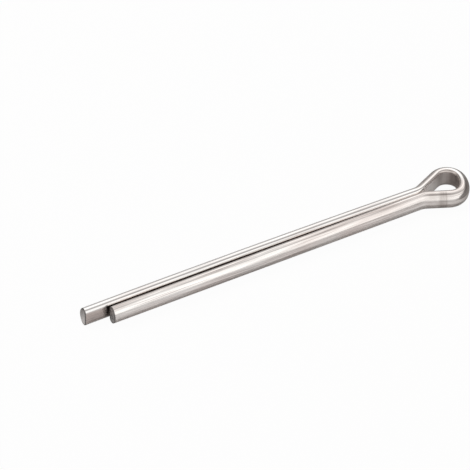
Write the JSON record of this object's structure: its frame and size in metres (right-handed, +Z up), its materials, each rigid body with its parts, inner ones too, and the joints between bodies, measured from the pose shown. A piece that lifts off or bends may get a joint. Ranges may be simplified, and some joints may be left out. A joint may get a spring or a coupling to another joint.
{
  "type": "cotter pin",
  "caption": "Split cotter pin of half-round steel wire folded round an open eye, with straight legs of unequal length that go through a drilled hole and bend over to lock it.",
  "frame": {"origin": "middle of the pin's bounding box, on the surface that it lies on", "axes": "+X along the shank towards the eye, +Y towards the longer leg, +Z up along the axis of the eye"},
  "size_m": [0.0699, 0.0082, 0.0033],
  "materials": {
    "steel_wire": "bright drawn stainless wire with fine lengthwise draw lines, greyer on its flat side"
  },
  "bodies": {
    "root": {"cotter_pin": "steel_wire"}
  },
  "joints": []
}
